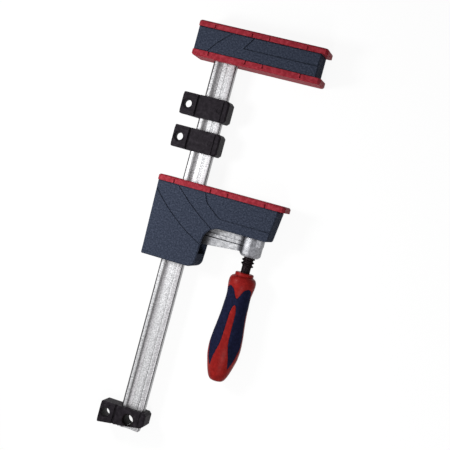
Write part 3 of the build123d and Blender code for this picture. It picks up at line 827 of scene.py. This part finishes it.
# %% Geometry Nodes tree for screw heads: the head and the two arms of its cross
screw_tree, screw_inputs = new_tree(
    "cross-head screws",
    {
        "Head Radius": ("Float", 0.0029),
        "Crown Radius": ("Float", 0.0023),
        "Head Height": ("Float", 0.0012),
        "Cross Width": ("Float", 0.0007),
        "Cross Length": ("Float", 0.0030),
        "Seed": ("Int", 4),
        "Material": ("Material", None),
    },
)
given = add_node(screw_tree, "NodeGroupInput").outputs
head = add_node(
    screw_tree,
    "GeometryNodeMeshCone",
    {
        "Vertices": 24,
        "Side Segments": 1,
        "Radius Top": given["Crown Radius"],
        "Radius Bottom": given["Head Radius"],
        "Depth": given["Head Height"],
    },
)
long_arm = add_node(
    screw_tree,
    "ShaderNodeCombineXYZ",
    {"X": given["Cross Length"], "Y": given["Cross Width"], "Z": given["Head Height"]},
)
cross_arm = add_node(screw_tree, "GeometryNodeMeshCube", {"Size": long_arm.outputs["Vector"]})
cross_place = add_node(screw_tree, "ShaderNodeCombineXYZ", {"Z": given["Head Height"]})
first_arm = add_node(
    screw_tree,
    "GeometryNodeTransform",
    {"Geometry": cross_arm.outputs["Mesh"], "Translation": cross_place.outputs["Vector"]},
)
second_arm = add_node(
    screw_tree,
    "GeometryNodeTransform",
    {"Geometry": first_arm.outputs["Geometry"], "Rotation": QUARTER_TURN},
)
print("head and cross in", len(screw_tree.nodes), "nodes")

# %% Geometry Nodes tree for screw heads: the cuts, and a head on each point
cut_head = head
for arm in (first_arm, second_arm):
    cut_head = add_node(
        screw_tree,
        "GeometryNodeMeshBoolean",
        {"Mesh 1": cut_head.outputs["Mesh"], "Mesh 2": arm.outputs["Geometry"]},
        operation="DIFFERENCE",
    )
turn = add_node(
    screw_tree,
    "FunctionNodeRandomValue",
    {2: 0.0, 3: math.tau, "Seed": given["Seed"]},
    data_type="FLOAT",
)
facing_back = add_node(screw_tree, "ShaderNodeCombineXYZ", {"X": math.pi, "Z": turn.outputs[1]})
placed = add_node(
    screw_tree,
    "GeometryNodeInstanceOnPoints",
    {
        "Points": given["Geometry"],
        "Instance": cut_head.outputs["Mesh"],
        "Rotation": facing_back.outputs["Vector"],
    },
)
real = add_node(
    screw_tree, "GeometryNodeRealizeInstances", {"Geometry": placed.outputs["Instances"]}
)
painted = add_node(
    screw_tree,
    "GeometryNodeSetMaterial",
    {"Geometry": real.outputs["Geometry"], "Material": given["Material"]},
)
add_node(screw_tree, "NodeGroupOutput", {"Geometry": painted.outputs["Geometry"]})
print("screw tree with", len(screw_tree.nodes), "nodes")

# %% Set the screws in the covers
SCREW_SINK = 0.5  # from the cover's outside to the middle of a head
SCREW_PLACES = {
    "rail": ("fixed_cover_screws", [(-28.8, 19.4), (36, 19.4), (95, 19.4)]),
    "jaw": (
        "moving_cover_screws",
        [(-25, -151), (36, -151), (94, -151), (-25, -181), (22, -212), (-25, -212)],
    ),
}
cover_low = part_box("fixed_jaw_cover_rear")[0]
for body, (name, places) in SCREW_PLACES.items():
    points = [(x * MM, y * MM, cover_low.z + SCREW_SINK * MM) for x, y in places]
    screws = grown_piece(name, points, screw_tree, screw_inputs, {"Material": black_oxide})
    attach(screws, body)
    print(name, len(screws.data.polygons), "faces")

# %% [markdown]
# ## Floor and light
#
# The clamp lies on a white table, as in a product photograph. One soft box stands to the
# upper left. It lights the covers from that side, so they grow darker to the right and throw
# a shadow on the arm, while walls that look to the right stay nearly black. A larger and
# weaker one stands beyond the handle and lifts the lower half of the clamp. The world adds a
# weak glow from the upper left, so that no shadow is empty.
#
# The camera must see plain white behind the clamp, and so must the metal, which mirrors it.
# A Light Path node tells a shader which kind of ray is asking: the table and the world say
# "white" to rays from the camera, from a glossy surface and through glass, and something
# dimmer to the rays that carry soft light. The table keeps an eighth of its own shading in
# view, and that is where the clamp's shadow shows.

# %% A switch for rays that look at the background
def looking_ray(tree):
    """1 for a ray from the camera, a glossy surface or glass, and 0 for soft light."""
    path = add_node(tree, "ShaderNodeLightPath").outputs
    shiny = add_node(
        tree,
        "ShaderNodeMath",
        {0: path["Is Glossy Ray"], 1: path["Is Transmission Ray"]},
        operation="MAXIMUM",
    )
    looking = add_node(
        tree,
        "ShaderNodeMath",
        {0: path["Is Camera Ray"], 1: shiny.outputs["Value"]},
        operation="MAXIMUM",
    )
    return looking.outputs["Value"]


print("rays that look see white")

# %% Floor
FLOOR_HALF = 2.0
floor_mesh = bpy.data.meshes.new("floor")
corners = ((-1, -1), (1, -1), (1, 1), (-1, 1))
floor_points = [(x * FLOOR_HALF, y * FLOOR_HALF, cad_low.z) for x, y in corners]
floor_mesh.from_pydata(floor_points, [], [(0, 1, 2, 3)])
floor = bpy.data.objects.new("floor", floor_mesh)
bpy.context.scene.collection.objects.link(floor)
print("floor at", round(cad_low.z / MM, 1), "mm")

# %% White paper on the floor
WHITE_SHARE = 0.88
PAPER_GLOW = 1.04
WHITE = colour("#FFFFFF")
paper, tree = new_material("white_paper")
looking = looking_ray(tree)
share = add_node(tree, "ShaderNodeMath", {0: looking, 1: WHITE_SHARE}, operation="MULTIPLY")
tone = add_node(
    tree,
    "ShaderNodeMix",
    {"Factor": looking, "A": colour("#6A6A6A"), "B": colour("#F4F4F4")},
    data_type="RGBA",
)
matt = add_node(tree, "ShaderNodeBsdfDiffuse", {"Color": tone.outputs[2]})
glow = add_node(tree, "ShaderNodeEmission", {"Color": WHITE, "Strength": PAPER_GLOW})
surface = add_node(
    tree,
    "ShaderNodeMixShader",
    {"Fac": share.outputs["Value"], 1: matt.outputs["BSDF"], 2: glow.outputs["Emission"]},
)
add_node(tree, "ShaderNodeOutputMaterial", {"Surface": surface.outputs["Shader"]})
floor_mesh.materials.append(paper)
print("paper in", len(tree.nodes), "nodes")

# %% World: a glow from the upper left
GLOW_WAY = Vector((-0.55, 0.22, 0.80)).normalized()
GLOW_START, GLOW_FULL = 0.3, 0.95
ROOM_LEVEL = 0.2
GLOW_LEVEL = 0.35
world = bpy.data.worlds.new("studio")
bpy.context.scene.world = world
world.use_nodes = True
world.node_tree.nodes.clear()
tree = world.node_tree
way = add_node(tree, "ShaderNodeTexCoord").outputs["Generated"]
facing = add_node(tree, "ShaderNodeVectorMath", {0: way, 1: GLOW_WAY}, operation="DOT_PRODUCT")
level = add_node(
    tree,
    "ShaderNodeMapRange",
    {
        "Value": facing.outputs["Value"],
        "From Min": GLOW_START,
        "From Max": GLOW_FULL,
        "To Min": ROOM_LEVEL,
        "To Max": GLOW_LEVEL,
    },
    interpolation_type="SMOOTHSTEP",
)
strength = add_node(
    tree,
    "ShaderNodeMapRange",
    {"Value": looking_ray(tree), "To Min": level.outputs["Result"], "To Max": 1.0},
)
sky = add_node(
    tree, "ShaderNodeBackground", {"Color": WHITE, "Strength": strength.outputs["Result"]}
)
add_node(tree, "ShaderNodeOutputWorld", {"Surface": sky.outputs["Background"]})
print("world in", len(tree.nodes), "nodes")


# %% Lamps
def soft_lamp(name, place, target, size, power):
    """A square lamp that looks at a target. Places are in millimetres."""
    data = bpy.data.lights.new(name, "AREA")
    data.shape = "SQUARE"
    data.size = size * MM
    data.energy = power
    lamp = bpy.data.objects.new(name, data)
    lamp.location = Vector(place) * MM
    way = (Vector(target) - Vector(place)) * MM
    lamp.rotation_euler = way.to_track_quat("-Z", "Y").to_euler()
    bpy.context.scene.collection.objects.link(lamp)


soft_lamp("key", (-240, -130, 330), (20, -160, 0), 130, 1.5)
soft_lamp("fill", (240, -560, 520), (50, -300, 0), 260, 1.5)
bpy.context.scene.view_settings.view_transform = "Standard"
print("stage and lamps set")
